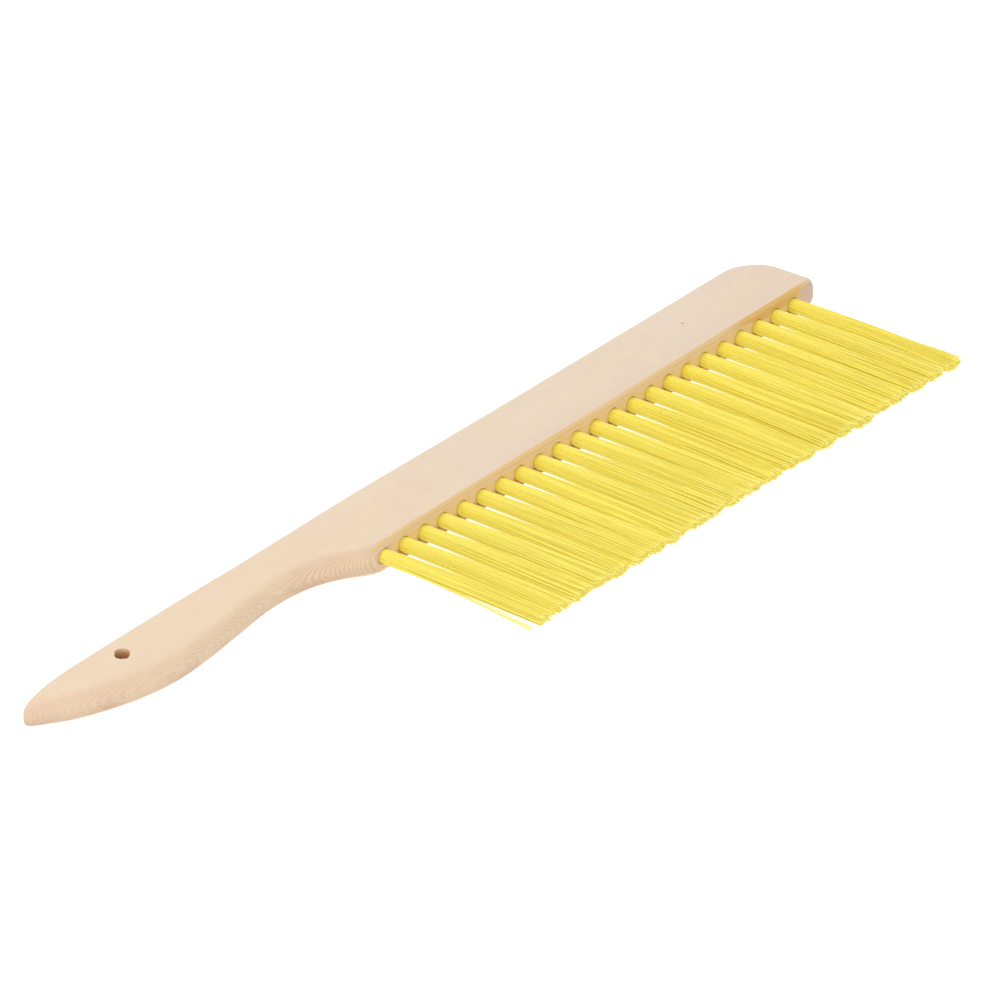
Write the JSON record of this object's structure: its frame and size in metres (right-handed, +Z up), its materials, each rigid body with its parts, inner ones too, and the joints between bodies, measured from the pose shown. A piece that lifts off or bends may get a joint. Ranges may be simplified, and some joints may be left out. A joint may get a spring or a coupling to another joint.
{
  "type": "bee brush",
  "caption": "Flat wooden brush with a shaped grip and a single row of soft yellow bristle tufts along one long edge, for sweeping bees off a comb.",
  "frame": {"origin": "bottom centre of the whole brush's bounding box, on the flat face it lies on", "axes": "+X along the block from the grip's tip to the head's end, -Y the way the bristles point, +Z up through the block's thickness"},
  "size_m": [0.4184, 0.1042, 0.012],
  "materials": {
    "wood": "matte",
    "bristle": "satin",
    "anchor_wire": "satin"
  },
  "bodies": {
    "block": {"handle_block": "wood", "anchor_01": "anchor_wire", "anchor_02": "anchor_wire", "anchor_03": "anchor_wire", "anchor_04": "anchor_wire", "anchor_05": "anchor_wire", "anchor_06": "anchor_wire", "anchor_07": "anchor_wire", "anchor_08": "anchor_wire", "anchor_09": "anchor_wire", "anchor_10": "anchor_wire", "anchor_11": "anchor_wire", "anchor_12": "anchor_wire", "anchor_13": "anchor_wire", "anchor_14": "anchor_wire", "anchor_15": "anchor_wire", "anchor_16": "anchor_wire", "anchor_17": "anchor_wire", "anchor_18": "anchor_wire", "anchor_19": "anchor_wire", "anchor_20": "anchor_wire", "anchor_21": "anchor_wire", "anchor_22": "anchor_wire", "anchor_23": "anchor_wire"},
    "bristles": {"tuft_01": "bristle", "tuft_02": "bristle", "tuft_03": "bristle", "tuft_04": "bristle", "tuft_05": "bristle", "tuft_06": "bristle", "tuft_07": "bristle", "tuft_08": "bristle", "tuft_09": "bristle", "tuft_10": "bristle", "tuft_11": "bristle", "tuft_12": "bristle", "tuft_13": "bristle", "tuft_14": "bristle", "tuft_15": "bristle", "tuft_16": "bristle", "tuft_17": "bristle", "tuft_18": "bristle", "tuft_19": "bristle", "tuft_20": "bristle", "tuft_21": "bristle", "tuft_22": "bristle", "tuft_23": "bristle"}
  },
  "joints": [
    {"name": "bristle_flex", "type": "hinge", "parent": "block", "child": "bristles", "pos_m": [0, 0.02085, 0.006], "axis": [1, 0, 0], "range_deg": [-40, 40], "stiffness_Nm_per_rad": 0.13, "springref_deg": -2.06, "deforming": ["tuft_01", "tuft_02", "tuft_03", "tuft_04", "tuft_05", "tuft_06", "tuft_07", "tuft_08", "tuft_09", "tuft_10", "tuft_11", "tuft_12", "tuft_13", "tuft_14", "tuft_15", "tuft_16", "tuft_17", "tuft_18", "tuft_19", "tuft_20", "tuft_21", "tuft_22", "tuft_23"]}
  ]
}
